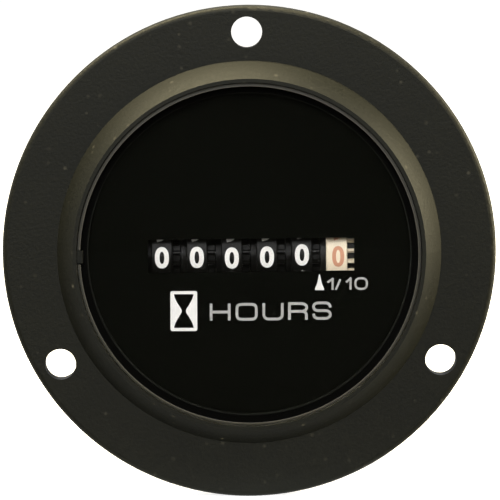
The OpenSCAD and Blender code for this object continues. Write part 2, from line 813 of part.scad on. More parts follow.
module movement_screws() {
    color(steel) stand_up() for (side = [-1, 1]) translate([0, side * boss_y, back_plate_front]) {
        translate([0, 0, screw_room - frame_t - screw_len])
            rod(screw_d, frame_t + screw_len - screw_room + sink);
        difference() {
            rotate_extrude() round_edged_section(screw_head_d / 2, screw_head_h, screw_head_edge);
            for (turn = [0, 90]) rotate(turn) translate([0, 0, screw_head_h])
                cube([0.6 * screw_head_d, cross_w, 2 * cross_depth], center = true);
        }
    }
}

// Blade with a chamfered tip and a locking hole, a shoulder inside the barrel and a tail through the board
module blade_terminal(side, tint) {
    tip = back_out - collar_h - blade_len;
    half = [
        [blade_w / 2 - tip_bevel_w, tip], [blade_w / 2, tip + tip_bevel_len],
        [blade_w / 2, back_in], [shoulder_w / 2, back_in],
        [shoulder_w / 2, back_in + shoulder_h], [tail_w / 2, back_in + shoulder_h],
        [tail_w / 2, board_front + tail_rise]
    ];
    outline = concat(half, [for (i = [len(half) - 1:-1:0]) [-half[i][0], half[i][1]]]);
    color(tint) stand_up() difference() {
        on_axis([0, 0], side * blade_spacing / 2 - blade_t / 2) linear_extrude(blade_t) polygon(outline);
        on_axis([0, tip + lock_hole_in], side * blade_spacing / 2 - blade_t) rod(lock_hole_d, 2 * blade_t);
    }
}

module terminal_plus() { blade_terminal(1, "#c7b27a"); }
module terminal_minus() { blade_terminal(-1, "#c7b27a"); }

front_housing();
rear_case();
lens();
lens_gasket();
dial_plate();
movement_frame();
gear_plate();
wheel_shaft();
pinion_shaft();
wheel_tenths();
wheel_units();
wheel_tens();
wheel_hundreds();
wheel_thousands();
wheel_ten_thousands();
pinion_units();
pinion_tens();
pinion_hundreds();
pinion_thousands();
pinion_ten_thousands();
output_gear();
idler_gear();
rotor_pinion();
rotor_magnet();
stator();
coil_core();
coil_bobbin();
coil_winding();
coil_pins();
motor_screws();
circuit_board();
controller_chip();
quartz_crystal();
smoothing_capacitor();
protection_diode();
dropper_resistor();
movement_screws();
terminal_plus();
terminal_minus();
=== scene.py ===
import math

import bmesh
import bpy
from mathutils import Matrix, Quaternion, Vector
from mathutils.geometry import delaunay_2d_cdt


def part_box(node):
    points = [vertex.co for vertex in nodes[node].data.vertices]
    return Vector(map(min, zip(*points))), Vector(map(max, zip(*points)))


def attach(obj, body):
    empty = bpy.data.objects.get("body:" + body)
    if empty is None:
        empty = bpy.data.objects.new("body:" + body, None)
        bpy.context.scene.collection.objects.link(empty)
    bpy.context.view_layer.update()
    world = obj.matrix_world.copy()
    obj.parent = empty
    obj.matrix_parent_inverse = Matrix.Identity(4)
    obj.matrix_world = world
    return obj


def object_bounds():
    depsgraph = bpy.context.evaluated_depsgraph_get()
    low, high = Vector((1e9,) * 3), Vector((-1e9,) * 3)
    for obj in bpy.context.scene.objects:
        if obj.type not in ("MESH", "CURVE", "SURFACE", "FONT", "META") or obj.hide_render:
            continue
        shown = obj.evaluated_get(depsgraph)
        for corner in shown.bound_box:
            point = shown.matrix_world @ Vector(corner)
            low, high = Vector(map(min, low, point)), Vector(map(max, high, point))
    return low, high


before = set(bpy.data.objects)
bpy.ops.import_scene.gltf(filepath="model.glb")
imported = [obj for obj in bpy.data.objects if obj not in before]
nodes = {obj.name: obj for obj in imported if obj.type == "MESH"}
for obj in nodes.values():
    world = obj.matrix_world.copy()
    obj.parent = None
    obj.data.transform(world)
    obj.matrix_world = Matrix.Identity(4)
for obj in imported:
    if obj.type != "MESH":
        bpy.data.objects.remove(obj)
cad_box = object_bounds()

MM = 0.001

# Camera: straight on from a little above, with the meter turned a hair anticlockwise in the picture
CAMERA_RISE = 6.0
CAMERA_ROLL = -0.7
CAMERA_LENS = 240.0
CAMERA_DISTANCE = 0.4885
CAMERA_AIM = Vector((0.000106, 0.0, 0.000107))

# Studio: the room's soft light, what lifts the floor to white in the picture, and the dark cards, in metres
ROOM_LIGHT = 0.3
FLOOR_LIFT = 0.8
FLOOR_REACH = 3.0
CARD_FAR, CARD_W, CARD_H = 0.35, 1.4, 1.4
CARD_GAP, CARD_LIFT = 0.002, 0.0004

# Lamps: name, place, depth and width in metres, watts, tint. Two rake across the bezel, one lights the dial.
LAMPS = (
    ("raking_right", (0.84, -0.012, 0.13), 0.07, 0.9, 24.0, "#fff0cc"),
    ("raking_top", (-0.24, -0.02, 0.81), 0.07, 0.9, 24.5, "#fff0cc"),
    ("front_box", (-0.05, -0.8, 0.37), 0.35, 0.35, 5.8, "#f4f4ff"),
)

# Counter: widths of a wheel's printed face and of its toothed ring, and the face's radius, in mm
FACE_W = 3.1
RING_W = 1.05
DRUM_R = 6.3
WHEELS = ("tenths", "units", "tens", "hundreds", "thousands", "ten_thousands")
counter_axis = (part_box("wheel_shaft")[0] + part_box("wheel_shaft")[1]) / 2

# Ink: how thick it lies and how far it bites into what carries it, in mm
INK_T = 0.02
INK_BITE = 0.03

# Sockets of the colour mix node: its share, its two colours and its outcome
MIX_SHARE, MIX_UNDER, MIX_OVER, MIX_OUT = 0, 6, 7, 2


def linear(code):
    """An sRGB hex colour as linear RGBA."""
    parts = [int(code[i:i + 2], 16) / 255 for i in (1, 3, 5)]
    return [c / 12.92 if c <= 0.04045 else ((c + 0.055) / 1.055) ** 2.4 for c in parts] + [1.0]


def add(tree, kind, inputs=None, **settings):
    """Adds a node, sets its settings, and sets or links its inputs."""
    made = tree.nodes.new(kind)
    for key, value in settings.items():
        setattr(made, key, value)
    for key, value in (inputs or {}).items():
        if isinstance(value, bpy.types.NodeSocket):
            tree.links.new(value, made.inputs[key])
        else:
            made.inputs[key].default_value = value
    return made


def work_out(tree, operation, *values, kind="ShaderNodeMath"):
    """Adds one step of arithmetic and returns its outcome."""
    return add(tree, kind, dict(enumerate(values)), operation=operation).outputs[0]


# A ray with fewer diffuse bounces than this was not scattered
NO_BOUNCE = 0.5


def seen_straight(tree):
    """1 for a ray that shows the surroundings, straight, in gloss or through the lens; it lights nothing."""
    path = add(tree, "ShaderNodeLightPath").outputs
    bounced = work_out(tree, "MAXIMUM", path["Is Glossy Ray"], path["Is Transmission Ray"])
    seen = work_out(tree, "MAXIMUM", path["Is Camera Ray"], bounced)
    unscattered = work_out(tree, "LESS_THAN", path["Diffuse Depth"], NO_BOUNCE)
    return work_out(tree, "MULTIPLY", seen, unscattered)


def fresh_tree(owner):
    """The emptied node tree of a material or world."""
    owner.use_nodes = True
    owner.node_tree.nodes.clear()
    return owner.node_tree


def set_camera():
    """A long lens that looks at the middle of the flange."""
    data = bpy.data.cameras.new("camera")
    data.lens = CAMERA_LENS
    data.sensor_width = 36.0
    data.clip_start = 0.01
    data.clip_end = 20.0
    camera = bpy.data.objects.new("camera", data)
    rise = math.radians(CAMERA_RISE)
    back = Vector((0.0, -math.cos(rise), math.sin(rise)))
    camera.location = CAMERA_AIM + back * CAMERA_DISTANCE
    camera.rotation_mode = "QUATERNION"
    roll = Quaternion((0.0, 0.0, 1.0), math.radians(CAMERA_ROLL))
    camera.rotation_quaternion = back.to_track_quat("Z", "Y") @ roll
    bpy.context.scene.collection.objects.link(camera)
    bpy.context.scene.camera = camera


def set_lamp(name, place, deep, wide, watts, tint):
    """A soft box that looks at the meter: at the side it is deep from front to back, wide the other way."""
    data = bpy.data.lights.new(name, "AREA")
    data.shape = "RECTANGLE"
    data.size = deep
    data.size_y = wide
    data.energy = watts
    data.color = linear(tint)[:3]
    lamp = bpy.data.objects.new(name, data)
    lamp.location = place
    lamp.rotation_mode = "QUATERNION"
    lamp.rotation_quaternion = Vector(place).to_track_quat("Z", "Y")
    bpy.context.scene.collection.objects.link(lamp)


def set_world():
    """Soft light from all round, which is white wherever it is seen."""
    world = bpy.data.worlds.new("studio")
    bpy.context.scene.world = world
    tree = fresh_tree(world)
    room = add(tree, "ShaderNodeBackground", {"Color": linear("#f6f4ef"), "Strength": ROOM_LIGHT})
    white = add(tree, "ShaderNodeBackground", {"Color": (1.0, 1.0, 1.0, 1.0), "Strength": 1.0})
    both = add(tree, "ShaderNodeMixShader", {
        0: seen_straight(tree), 1: room.outputs[0], 2: white.outputs[0],
    })
    add(tree, "ShaderNodeOutputWorld", {"Surface": both.outputs[0]})


def plate(name, corners, material):
    """A flat four-cornered sheet of the studio."""
    mesh = bpy.data.meshes.new(name)
    mesh.from_pydata(corners, [], [(0, 1, 2, 3)])
    mesh.materials.append(material)
    made = bpy.data.objects.new(name, mesh)
    bpy.context.scene.collection.objects.link(made)
    return made


def set_stage():
    """A pale floor, and two dark cards that only gloss shows, so that the meter's front mirrors no white."""
    paper = bpy.data.materials.new("floor_paper")
    tree = fresh_tree(paper)
    sheet = add(tree, "ShaderNodeBsdfDiffuse", {"Color": linear("#eeeeec")})
    lift = work_out(tree, "MULTIPLY", seen_straight(tree), FLOOR_LIFT)
    glow = add(tree, "ShaderNodeEmission", {"Strength": lift})
    both = add(tree, "ShaderNodeAddShader", {0: sheet.outputs[0], 1: glow.outputs[0]})
    path = add(tree, "ShaderNodeLightPath")
    plain = add(tree, "ShaderNodeEmission", {"Strength": 1.0})
    shown = add(tree, "ShaderNodeMixShader", {
        0: path.outputs["Is Glossy Ray"], 1: both.outputs[0], 2: plain.outputs[0],
    })
    add(tree, "ShaderNodeOutputMaterial", {"Surface": shown.outputs[0]})
    level = cad_box[0].z
    plate("floor", [(-FLOOR_REACH, -FLOOR_REACH, level), (FLOOR_REACH, -FLOOR_REACH, level),
                    (FLOOR_REACH, FLOOR_REACH, level), (-FLOOR_REACH, FLOOR_REACH, level)], paper)
    felt = bpy.data.materials.new("card_felt")
    tree = fresh_tree(felt)
    dark = add(tree, "ShaderNodeBsdfDiffuse", {"Color": linear("#0a0a0a")})
    add(tree, "ShaderNodeOutputMaterial", {"Surface": dark.outputs[0]})
    near, far, low = cad_box[0].y - CARD_GAP, -CARD_FAR, level + CARD_LIFT
    standing = plate("card_standing", [(-CARD_W, far, low), (CARD_W, far, low), (CARD_W, far, CARD_H),
                                       (-CARD_W, far, CARD_H)], felt)
    lying = plate("card_lying", [(-CARD_W, far, low), (CARD_W, far, low), (CARD_W, near, low),
                                 (-CARD_W, near, low)], felt)
    for card in (standing, lying):
        card.visible_camera = False
        card.visible_diffuse = False
        card.visible_shadow = False


def finish(name, dark, light, grain_mm, rough, bump_mm, shine=0.5, metal=0.0):
    """A surface whose colour, gloss and relief all follow one fine grain, in Object coordinates.

    grain_mm is the size of the grain, rough its least and most roughness, bump_mm the depth of its relief.
    """
    material = bpy.data.materials.new(name)
    tree = fresh_tree(material)
    place = add(tree, "ShaderNodeTexCoord")
    grain = add(tree, "ShaderNodeTexNoise", {
        "Vector": place.outputs["Object"], "Scale": 1 / (grain_mm * MM), "Detail": 3.0, "Roughness": 0.6,
    })
    tint = add(tree, "ShaderNodeMix", {
        MIX_SHARE: grain.outputs["Fac"], MIX_UNDER: linear(dark), MIX_OVER: linear(light),
    }, data_type="RGBA")
    gloss = add(tree, "ShaderNodeMapRange", {
        "Value": grain.outputs["Fac"], "From Min": 0.25, "From Max": 0.75,
        "To Min": rough[0], "To Max": rough[1],
    })
    relief = add(tree, "ShaderNodeBump", {"Height": grain.outputs["Fac"], "Distance": bump_mm * MM})
    shader = add(tree, "ShaderNodeBsdfPrincipled", {
        "Base Color": tint.outputs[MIX_OUT], "Roughness": gloss.outputs["Result"],
        "Normal": relief.outputs["Normal"], "Metallic": metal, "Specular IOR Level": shine,
    })
    add(tree, "ShaderNodeOutputMaterial", {"Surface": shader.outputs["BSDF"]})
    return material, tree, shader, place.outputs["Object"]


def lay_over(tree, shader, mask, colour, metal=False):
    """Puts a colour, or a metal of that colour, over the finish where the mask is 1."""
    under = shader.inputs["Base Color"].links[0].from_socket
    over = add(tree, "ShaderNodeMix", {
        MIX_SHARE: mask, MIX_UNDER: under, MIX_OVER: linear(colour),
    }, data_type="RGBA")
    tree.links.new(over.outputs[MIX_OUT], shader.inputs["Base Color"])
    if metal:
        tree.links.new(mask, shader.inputs["Metallic"])


def slice_of(tree, where, axis, middle, half):
    """1 in a slice across one axis, with its middle and half thickness in mm."""
    parts = add(tree, "ShaderNodeSeparateXYZ", {0: where})
    return work_out(tree, "COMPARE", parts.outputs[axis], middle * MM, half * MM)


def beyond(tree, where, keep, centre, radius):
    """1 further than a radius from a line; keep is 0 along that line and 1 across it, sizes in mm."""
    flat = work_out(tree, "MULTIPLY", where, keep, kind="ShaderNodeVectorMath")
    away = add(tree, "ShaderNodeVectorMath", {
        0: flat, 1: [c * MM for c in centre],
    }, operation="DISTANCE")
    return work_out(tree, "GREATER_THAN", away.outputs["Value"], radius * MM)


def outside(tree, mask):
    """Turns a mask round."""
    return work_out(tree, "SUBTRACT", 1.0, mask)


# Flange and bezel. Black phenolic from a spark-eroded mould: near-black under a dull, faintly olive shine,
# with a fine grain that breaks up the light, slow clouding of the tone and a few faint specks of filler. The
# grain is drawn at 0.45 mm, coarser than the real one, so that it shows.
CLOUD_MM, CLOUD_SHARE = 7.0, 0.35
SPECK_CELL_MM, SPECK_SHARE = 1.9, 0.15
black, tree, shader, where = finish("moulded_black_phenolic", "#060703", "#12130d",
                                    grain_mm=0.45, rough=(0.46, 0.64), bump_mm=0.035, shine=0.26)
shader.inputs["Specular Tint"].default_value = linear("#f8faea")
cloud = add(tree, "ShaderNodeTexNoise", {"Vector": where, "Scale": 1 / (CLOUD_MM * MM), "Detail": 2.0})
tone = add(tree, "ShaderNodeMapRange", {
    "Value": cloud.outputs["Fac"], "From Min": 0.4, "From Max": 0.7, "To Min": 0.0, "To Max": CLOUD_SHARE,
})
lay_over(tree, shader, tone.outputs["Result"], "#090a07")
filler = add(tree, "ShaderNodeTexVoronoi", {"Vector": where, "Scale": 1 / (SPECK_CELL_MM * MM)})
speck = add(tree, "ShaderNodeMapRange", {
    "Value": filler.outputs["Distance"], "From Min": 0.05, "From Max": 0.2,
    "To Min": SPECK_SHARE, "To Max": 0.0,
})
# Each cell's own random tone decides how much its speck shows
showing = add(tree, "ShaderNodeMapRange", {
    "Value": filler.outputs["Color"], "From Min": 0.46, "From Max": 0.66,
})
fleck = work_out(tree, "MULTIPLY", speck.outputs["Result"], showing.outputs["Result"])
lay_over(tree, shader, fleck, "#8c8878")

# Barrel. The same phenolic from a sandblasted mould: matt, so it stays black to the eye where the flange
# catches the light
matt_black = finish("sandblasted_black_phenolic", "#080806", "#11110e",
                    grain_mm=0.5, rough=(0.72, 0.86), bump_mm=0.03, shine=0.1)[0]

# Lens. Polycarbonate, moulded and polished: clear with a faint warm tint and a hardly seen swirl, and open
# to the light of the lamps
LENS_TINT = "#fbfbf7"
SWIRL_MM, SWIRL_DEPTH = 12.0, 0.002
lens_clear = bpy.data.materials.new("polished_polycarbonate")
tree = fresh_tree(lens_clear)
glass = add(tree, "ShaderNodeBsdfPrincipled", {
    "Base Color": linear(LENS_TINT), "Roughness": 0.02, "IOR": 1.58, "Transmission Weight": 1.0,
})
place = add(tree, "ShaderNodeTexCoord")
flow = add(tree, "ShaderNodeTexNoise", {"Vector": place.outputs["Object"], "Scale": 1 / (SWIRL_MM * MM)})
swirl = add(tree, "ShaderNodeBump", {"Height": flow.outputs["Fac"], "Distance": SWIRL_DEPTH * MM})
tree.links.new(swirl.outputs["Normal"], glass.inputs["Normal"])
opening = add(tree, "ShaderNodeBsdfTransparent", {"Color": linear(LENS_TINT)})
path = add(tree, "ShaderNodeLightPath")
pane = add(tree, "ShaderNodeMixShader", {
    0: path.outputs["Is Shadow Ray"], 1: glass.outputs[0], 2: opening.outputs[0],
})
add(tree, "ShaderNodeOutputMaterial", {"Surface": pane.outputs[0]})

# The same plastic where the lens's bevel was ground: frosted, and pale grey partly as a painted highlight,
# so it shows as a pale line round the dial
ground = finish("ground_polycarbonate_painted_highlight", "#3a3a36", "#464641",
                grain_mm=0.2, rough=(0.5, 0.65), bump_mm=0.004, shine=0.4)[0]

# Gasket. Nitrile rubber cut from sheet: soft black with almost no shine
rubber = finish("cut_nitrile_rubber", "#060605", "#0a0a08",
                grain_mm=0.3, rough=(0.75, 0.9), bump_mm=0.008, shine=0.05)[0]

# Dial. Aluminium sheet under sprayed matt lacquer, which drinks the light; the spray's orange peel is faint
lacquer = finish("sprayed_black_lacquer", "#040502", "#060704",
                 grain_mm=0.25, rough=(0.65, 0.8), bump_mm=0.002, shine=0.025)[0]

# Number wheels. Black acetal from a polished mould: a soft highlight runs along the top of each drum
wheel_black = finish("moulded_black_acetal", "#0a0a08", "#11110e",
                     grain_mm=0.3, rough=(0.26, 0.36), bump_mm=0.003, shine=0.3)[0]

# Tenths wheel. The same acetal moulding in cream, its face and tooth tips left cream; inside this radius in
# mm its side disc and the gaps between its teeth are painted dark brown as painted shade, where the next
# wheel shades them
PAINTED_SHADE_INSIDE_R = 4.75
wheel_cream, tree, shader, where = finish("cream_acetal_with_painted_shade", "#f4e3c4", "#fcedd2",
                                          grain_mm=0.4, rough=(0.4, 0.5), bump_mm=0.003, shine=0.4)
enamelled = beyond(
    tree, where, (0.0, 1.0, 1.0), (0.0, counter_axis.y / MM, counter_axis.z / MM), PAINTED_SHADE_INSIDE_R,
)
# Painted shade: inside the radius, the side disc and the gaps between the teeth are painted dark brown
hollow = outside(tree, enamelled)
lay_over(tree, shader, hollow, "#17150f")

# Printing ink from a pad: dead flat, a little uneven where the pad let go
ink_white = finish("pad_ink_white", "#eceae4", "#faf8f4",
                   grain_mm=0.2, rough=(0.6, 0.75), bump_mm=0.002, shine=0.3)[0]
ink_red = finish("pad_ink_red_brown", "#cf8f6e", "#dea585",
                 grain_mm=0.2, rough=(0.6, 0.75), bump_mm=0.002, shine=0.3)[0]
# Dial printing, thinner and greyer than the wheels'
ink_grey = finish("screen_ink_grey_white", "#aaa9a6", "#bdbcb9",
                  grain_mm=0.2, rough=(0.6, 0.75), bump_mm=0.002, shine=0.3)[0]

# Counter frame. Nylon filled with glass fibre: grey, with the fibres' fleck in it
frame_grey = finish("moulded_glass_filled_nylon", "#4a4b44", "#62635b",
                    grain_mm=0.35, rough=(0.5, 0.65), bump_mm=0.01, shine=0.4)[0]

# Gears, pinions and gear plate. Acetal in its own colour: milky and slippery
natural = finish("moulded_natural_acetal", "#d2ccb9", "#dfdaca",
                 grain_mm=0.6, rough=(0.35, 0.45), bump_mm=0.004, shine=0.45)[0]

# Shafts, stator, coil core and screws. Bright drawn steel: cool grey whose gloss changes with a fine grain
steel = finish("drawn_bright_steel", "#a7a9ab", "#c8cacc",
               grain_mm=0.15, rough=(0.2, 0.38), bump_mm=0.003, metal=1.0)[0]

# Rotor. Ferrite, pressed and sintered: charcoal grey, dry, slightly gritty
ferrite = finish("sintered_ferrite", "#2f3033", "#48494c",
                 grain_mm=0.18, rough=(0.55, 0.72), bump_mm=0.01, shine=0.4)[0]

# Bobbin. Polyester moulding: off-white and smooth
bobbin = finish("moulded_polyester", "#ddd8c7", "#ece8db",
                grain_mm=0.5, rough=(0.4, 0.5), bump_mm=0.004, shine=0.45)[0]

# Coil. Copper wire under clear enamel: orange-brown metal
enamel = finish("enamelled_copper_wire", "#9c5220", "#c0743f",
                grain_mm=0.25, rough=(0.25, 0.36), bump_mm=0.003, metal=0.9)[0]

# Circuit board. Glass cloth in epoxy under green mask: the weave of the cloth shows faintly, and the sawn
# edge is bare. A wave texture of scale 1 repeats WAVE_SPEED times in a length of tau.
WEAVE_MM, WEAVE_SHARE, SAWN_EDGE = 0.6, 0.12, 0.04
WAVE_SPEED = 20
board_green, tree, shader, where = finish("masked_glass_epoxy", "#245a2c", "#33703c",
                                          grain_mm=0.5, rough=(0.3, 0.42), bump_mm=0.002)
for direction in ("X", "Z"):
    cloth = add(tree, "ShaderNodeTexWave", {
        "Vector": where, "Scale": math.tau / (WAVE_SPEED * WEAVE_MM * MM), "Distortion": 0.4,
    }, bands_direction=direction)
    thread = add(tree, "ShaderNodeMapRange", {"Value": cloth.outputs["Fac"], "To Max": WEAVE_SHARE})
    lay_over(tree, shader, thread.outputs["Result"], "#5f9a5e")
board_low, board_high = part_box("circuit_board")
edge = beyond(tree, where, (1.0, 0.0, 1.0), (0.0, 0.0, 0.0), board_high.x / MM - SAWN_EDGE)
lay_over(tree, shader, edge, "#b9b184")

# Small parts on the board, in mm: half lengths of their bodies, places and half widths of their bands, and
# how far the capacitor's sleeve stops short
CHIP_BODY_HALF = 2.0
DIODE_HALF, DIODE_BAND_AT, DIODE_BAND_HALF = 2.3, 1.4, 0.3
RESISTOR_HALF, RESISTOR_BAND_HALF = 2.4, 0.2
RESISTOR_BANDS = ((-1.5, "#6b3a1d"), (-0.8, "#1b1a18"), (-0.1, "#a8261c"), (1.4, "#b08a3a"))
CAN_STRIPE_HALF, CAN_BARE_RIM = 0.35, 0.22
TINNED = "#c3c4c4"

# Chip. Epoxy moulded round its legs: dull black body, tinned legs
epoxy, tree, shader, where = finish("moulded_epoxy", "#18181a", "#252528",
                                    grain_mm=0.2, rough=(0.5, 0.65), bump_mm=0.006, shine=0.4)
chip_low, chip_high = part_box("controller_chip")
chip_z = (chip_low.z + chip_high.z) / 2 / MM
legs = outside(tree, slice_of(tree, where, "Z", chip_z, CHIP_BODY_HALF))
lay_over(tree, shader, legs, TINNED, metal=True)

# Diode. The same epoxy, with a pale band at one end and tinned leads
diode_black, tree, shader, where = finish("moulded_diode_epoxy", "#17171a", "#232326",
                                          grain_mm=0.2, rough=(0.4, 0.55), bump_mm=0.004, shine=0.45)
diode_low, diode_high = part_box("protection_diode")
diode_z = (diode_low.z + diode_high.z) / 2 / MM
band = slice_of(tree, where, "Z", diode_z + DIODE_BAND_AT, DIODE_BAND_HALF)
lay_over(tree, shader, band, "#b9bab8")
leads = outside(tree, slice_of(tree, where, "Z", diode_z, DIODE_HALF))
lay_over(tree, shader, leads, TINNED, metal=True)

# Resistor. Carbon film under tan lacquer, with painted bands and tinned leads
tan, tree, shader, where = finish("dipped_tan_lacquer", "#bda47a", "#d1ba92",
                                  grain_mm=0.3, rough=(0.35, 0.48), bump_mm=0.004)
resistor_low, resistor_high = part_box("dropper_resistor")
resistor_x = (resistor_low.x + resistor_high.x) / 2 / MM
for offset, colour in RESISTOR_BANDS:
    lay_over(tree, shader, slice_of(tree, where, "X", resistor_x + offset, RESISTOR_BAND_HALF), colour)
leads = outside(tree, slice_of(tree, where, "X", resistor_x, RESISTOR_HALF))
lay_over(tree, shader, leads, TINNED, metal=True)

# Capacitor. Aluminium can in a shrunk sleeve: deep blue with a pale stripe down its negative side; the top
# and the leads are bare
sleeve, tree, shader, where = finish("shrunk_blue_sleeve", "#232946", "#30375a",
                                     grain_mm=0.5, rough=(0.28, 0.4), bump_mm=0.003)
can_low, can_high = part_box("smoothing_capacitor")
lay_over(tree, shader, slice_of(tree, where, "Z", can_high.z / MM, CAN_STRIPE_HALF), "#b9bcc4")
can_top, can_foot = can_low.y / MM, board_low.y / MM
sleeve_half = (can_foot - can_top) / 2 - CAN_BARE_RIM
bare = outside(tree, slice_of(tree, where, "Y", (can_top + can_foot) / 2, sleeve_half))
lay_over(tree, shader, bare, "#c9cacb", metal=True)

# Crystal can and coil pins. Nickel plate: bright and even
nickel = finish("plated_nickel", "#bdbebd", "#d3d3d2",
                grain_mm=0.3, rough=(0.2, 0.32), bump_mm=0.002, metal=1.0)[0]
# Solder: bright tin alloy that froze smooth
solder = finish("frozen_solder", "#b4b6b8", "#d0d2d4",
                grain_mm=0.4, rough=(0.16, 0.3), bump_mm=0.004, metal=1.0)[0]

# Terminals. Rolled brass strip: yellow metal with faint long streaks along the blade
STREAK_MM, STREAK_SQUEEZE = 0.35, 0.04
brass, tree, shader, where = finish("rolled_brass", "#b59c63", "#cbb67f",
                                    grain_mm=0.3, rough=(0.25, 0.36), bump_mm=0.002, metal=1.0)
stretched = work_out(tree, "MULTIPLY", where, (1.0, STREAK_SQUEEZE, 1.0), kind="ShaderNodeVectorMath")
streak = add(tree, "ShaderNodeTexNoise", {
    "Vector": stretched, "Scale": 1 / (STREAK_MM * MM), "Detail": 2.0,
})
worn = add(tree, "ShaderNodeMapRange", {
    "Value": streak.outputs["Fac"], "From Min": 0.45, "From Max": 0.8, "To Max": 0.5,
})
lay_over(tree, shader, worn.outputs["Result"], "#937c48")

WEARS = {
    "front_housing": black, "rear_case": matt_black, "lens": lens_clear, "lens_gasket": rubber,
    "dial_plate": lacquer, "movement_frame": frame_grey, "gear_plate": natural, "wheel_shaft": steel,
    "pinion_shaft": steel, "wheel_tenths": wheel_cream, "wheel_units": wheel_black,
    "wheel_tens": wheel_black, "wheel_hundreds": wheel_black, "wheel_thousands": wheel_black,
    "wheel_ten_thousands": wheel_black, "pinion_units": natural, "pinion_tens": natural,
    "pinion_hundreds": natural, "pinion_thousands": natural, "pinion_ten_thousands": natural,
    "output_gear": natural, "idler_gear": natural, "rotor_pinion": natural, "rotor_magnet": ferrite,
    "stator": steel, "coil_core": steel, "coil_bobbin": bobbin, "coil_winding": enamel,
    "coil_pins": nickel, "motor_screws": steel, "circuit_board": board_green, "controller_chip": epoxy,
    "quartz_crystal": nickel, "smoothing_capacitor": sleeve, "protection_diode": diode_black,
    "dropper_resistor": tan, "movement_screws": steel, "terminal_plus": brass, "terminal_minus": brass,
}


def dress_nodes():
    """Gives each CAD node its material."""
    for name, material in WEARS.items():
        nodes[name].data.materials.clear()
        nodes[name].data.materials.append(material)


def arc(cx, cy, rx, ry, start, end, steps=12):
    """Points along an ellipse from one angle to another, in degrees."""
    turns = [math.radians(start + (end - start) * i / steps) for i in range(steps + 1)]
    return [(cx + rx * math.cos(a), cy + ry * math.sin(a)) for a in turns]


def oval(power, steps=40):
    """A closed ring in the unit square: an ellipse at power 2, squarer above that."""
    ring = []
    for i in range(steps + 1):
        c, s = math.cos(2 * math.pi * i / steps), math.sin(2 * math.pi * i / steps)
        x = math.copysign(abs(c) ** (2 / power), c)
        y = math.copysign(abs(s) ** (2 / power), s)
        ring.append((0.5 + 0.5 * x, 0.5 + 0.5 * y))
    return ring


# Centre lines of the characters, each in a unit square
SIX = [arc(0.5, 0.3, 0.5, 0.3, 0, 360, 28), arc(0.94, 0.3, 0.94, 0.7, 98, 180)]
STROKES = {
    "0": [oval(2.3)],
    "1": [[(0.18, 0.78), (0.55, 1.0), (0.55, 0.0)]],
    "2": [arc(0.5, 0.72, 0.5, 0.28, 165, -35), [(0.91, 0.56), (0.0, 0.0), (1.0, 0.0)]],
    "3": [arc(0.46, 0.77, 0.48, 0.23, 155, -90), arc(0.46, 0.27, 0.54, 0.27, 90, -155)],
    "4": [[(0.72, 0.0), (0.72, 1.0), (0.0, 0.3), (1.0, 0.3)]],
    "5": [[(0.92, 1.0), (0.16, 1.0), (0.08, 0.52)], arc(0.46, 0.33, 0.54, 0.33, 135, -145)],
    "6": SIX,
    "7": [[(0.0, 1.0), (1.0, 1.0), (0.34, 0.0)]],
    "8": [arc(0.5, 0.77, 0.42, 0.23, 0, 360, 28), arc(0.5, 0.27, 0.5, 0.27, 0, 360, 28)],
    "9": [[(1 - x, 1 - y) for x, y in path] for path in SIX],
    "H": [[(0.0, 0.0), (0.0, 1.0)], [(1.0, 0.0), (1.0, 1.0)], [(0.0, 0.5), (1.0, 0.5)]],
    "O": [oval(4.5)],
    "U": [[(0.0, 1.0)] + arc(0.26, 0.32, 0.26, 0.32, 180, 270) + arc(0.74, 0.32, 0.26, 0.32, 270, 360)
          + [(1.0, 1.0)]],
    "R": [[(0.0, 0.0), (0.0, 1.0)], [(0.0, 1.0)] + arc(0.7, 0.74, 0.3, 0.26, 90, -90) + [(0.0, 0.48)],
          [(0.6, 0.48)] + arc(0.72, 0.24, 0.26, 0.24, 90, 0) + [(0.98, 0.0)]],
    "S": [arc(0.72, 0.74, 0.27, 0.26, 10, 90) + arc(0.28, 0.75, 0.28, 0.25, 90, 270)
          + arc(0.72, 0.25, 0.28, 0.25, 90, -90) + arc(0.28, 0.26, 0.27, 0.26, 270, 190)],
    "o": [oval(2.6)],
    "i": [[(0.0, 0.7), (1.0, 1.0), (1.0, 0.0)]],
    "/": [[(0.0, 0.0), (1.0, 1.0)]],
}
# A stroke is cut at corners of more degrees than this, and its straights get a point at every step in mm;
# two points nearer than SAME are one
SHARP_TURN = 40.0
STEP_MM = 0.25
SAME = 1e-6
# The kind of filling that keeps only what lies inside the patches
FILL_INSIDE = 1


def runs_of(path):
    """Splits a path at its sharp corners and fills long straights with points."""
    runs, run = [], [Vector(path[0])]
    for here, after in zip(path, path[1:]):
        here, after = Vector(here), Vector(after)
        if (after - here).length < SAME:
            continue
        if len(run) > 1 and math.degrees((run[-1] - run[-2]).angle(after - here)) > SHARP_TURN:
            runs.append(run)
            run = [here]
        steps = max(1, math.ceil((after - here).length / STEP_MM))
        run += [here.lerp(after, i / steps) for i in range(1, steps + 1)]
    return runs + [run]


def stroke_quads(path, width):
    """Four-cornered patches that cover a path with a stroke of this width, with square ends."""
    quads = []
    for run in runs_of(path):
        closed = (run[0] - run[-1]).length < SAME
        last = len(run) - 1
        rails = []
        for i, point in enumerate(run):
            before = run[i - 1] if i else (run[last - 1] if closed else point)
            after = run[i + 1] if i < last else (run[1] if closed else point)
            along = (after - before).normalized()
            reach = 0.0 if closed else (-width / 2 if i == 0 else width / 2 if i == last else 0.0)
            side = Vector((-along.y, along.x)) * width / 2
            rails.append((point + along * reach + side, point + along * reach - side))
        quads += [(a[0], a[1], b[1], b[0]) for a, b in zip(rails, rails[1:])]
    return quads


def character_quads(sign, left, base, width, height, stroke):
    """A character's patches, with its outer edges on the box that starts at left and base."""
    def fit(point):
        x, y = point
        return left + stroke / 2 + x * (width - stroke), base + stroke / 2 + y * (height - stroke)

    return [quad for path in STROKES[sign] for quad in stroke_quads([fit(p) for p in path], stroke)]


